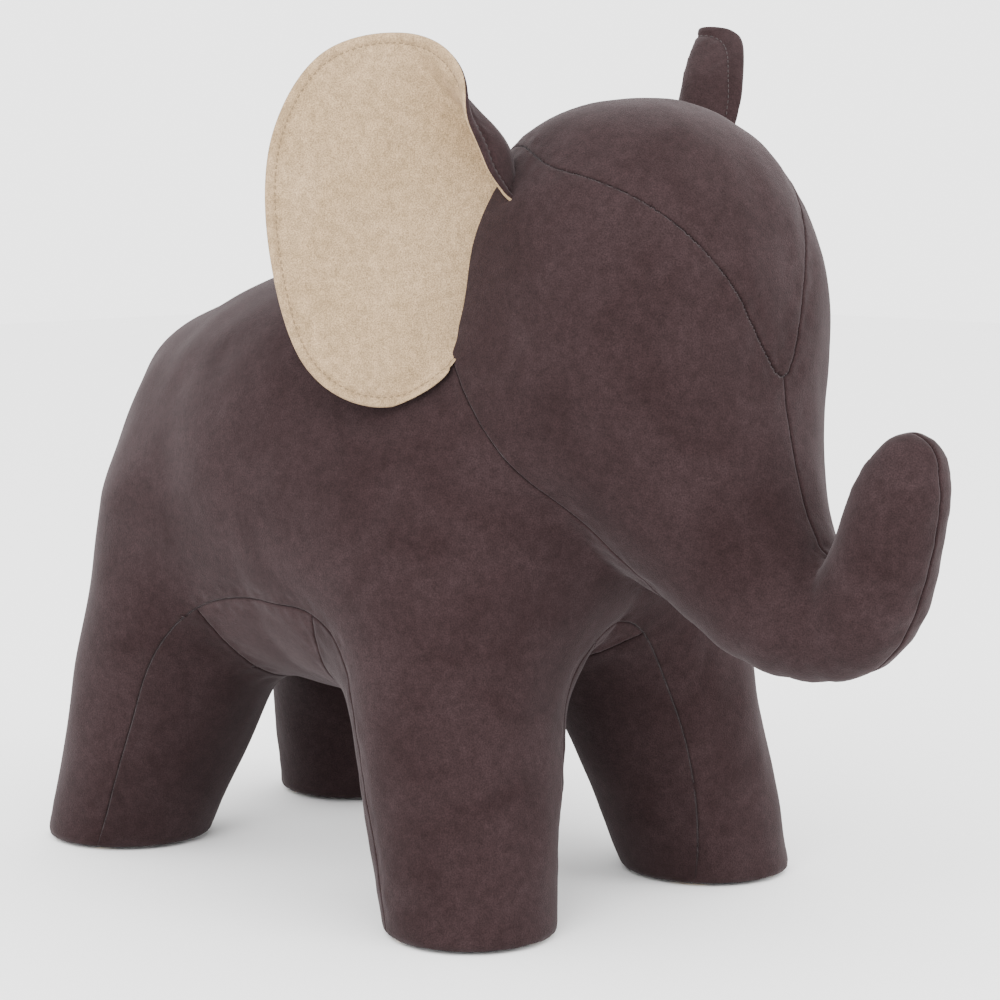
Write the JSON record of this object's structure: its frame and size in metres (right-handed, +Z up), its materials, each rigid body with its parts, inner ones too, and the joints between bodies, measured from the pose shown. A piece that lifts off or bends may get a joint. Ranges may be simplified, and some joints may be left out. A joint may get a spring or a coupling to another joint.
{
  "type": "stuffed elephant",
  "caption": "Child's elephant-shaped upholstered pouf in taupe velour with beige-faced ears that flop on their seams, a hanging tail, and a timber frame and foam inside.",
  "frame": {"origin": "on the floor, under the middle of the bounding box", "axes": "+X the way the elephant faces, +Y its left side, +Z up"},
  "size_m": [0.7674, 0.4548, 0.6171],
  "materials": {
    "taupe_velour": "matte",
    "beige_velour": "matte",
    "foam": "matte",
    "felt": "matte",
    "plywood": "matte",
    "pine": "matte",
    "zinc_steel": "satin"
  },
  "bodies": {
    "pouf": {"base_board": "plywood", "spine_board": "plywood", "rear_rib": "plywood", "front_rib": "plywood", "head_board": "plywood", "foot_disc_front_right": "plywood", "leg_post_front_right": "pine", "foot_pad_front_right": "felt", "leg_foam_front_right": "foam", "inner_leg_panel_front_right": "taupe_velour", "foot_disc_front_left": "plywood", "leg_post_front_left": "pine", "foot_pad_front_left": "felt", "leg_foam_front_left": "foam", "inner_leg_panel_front_left": "taupe_velour", "foot_disc_rear_right": "plywood", "leg_post_rear_right": "pine", "foot_pad_rear_right": "felt", "leg_foam_rear_right": "foam", "inner_leg_panel_rear_right": "taupe_velour", "foot_disc_rear_left": "plywood", "leg_post_rear_left": "pine", "foot_pad_rear_left": "felt", "leg_foam_rear_left": "foam", "inner_leg_panel_rear_left": "taupe_velour", "neck_bracket_left": "zinc_steel", "neck_bracket_right": "zinc_steel", "leg_bolts": "zinc_steel", "leg_washers": "zinc_steel", "foot_screws": "zinc_steel", "frame_screws": "zinc_steel", "bracket_bolts": "zinc_steel", "bracket_screws": "zinc_steel", "seat_foam": "foam", "belly_foam": "foam", "neck_foam": "foam", "head_foam_left": "foam", "head_foam_right": "foam", "trunk_foam": "foam", "body_coat": "taupe_velour", "belly_panel": "taupe_velour", "forehead_gusset": "taupe_velour", "head_panel_left": "taupe_velour", "head_panel_right": "taupe_velour"},
    "left_ear": {"ear_back_left": "taupe_velour", "ear_pad_left": "foam", "ear_front_left": "beige_velour"},
    "right_ear": {"ear_back_right": "taupe_velour", "ear_pad_right": "foam", "ear_front_right": "beige_velour"},
    "tail_body": {"tail": "taupe_velour"}
  },
  "joints": [
    {"name": "left_ear_flop", "type": "hinge", "parent": "pouf", "child": "left_ear", "pos_m": [0.054, 0.12, 0.46], "axis": [0, 0, 1], "range_deg": [-35, 20], "stiffness_Nm_per_rad": 0.5},
    {"name": "right_ear_flop", "type": "hinge", "parent": "pouf", "child": "right_ear", "pos_m": [0.054, -0.12, 0.46], "axis": [0, 0, -1], "range_deg": [-35, 20], "stiffness_Nm_per_rad": 0.5},
    {"name": "tail_swing", "type": "hinge", "parent": "pouf", "child": "tail_body", "pos_m": [-0.36, 0, 0.342], "axis": [0, 1, 0], "range_deg": [0, 60]}
  ]
}
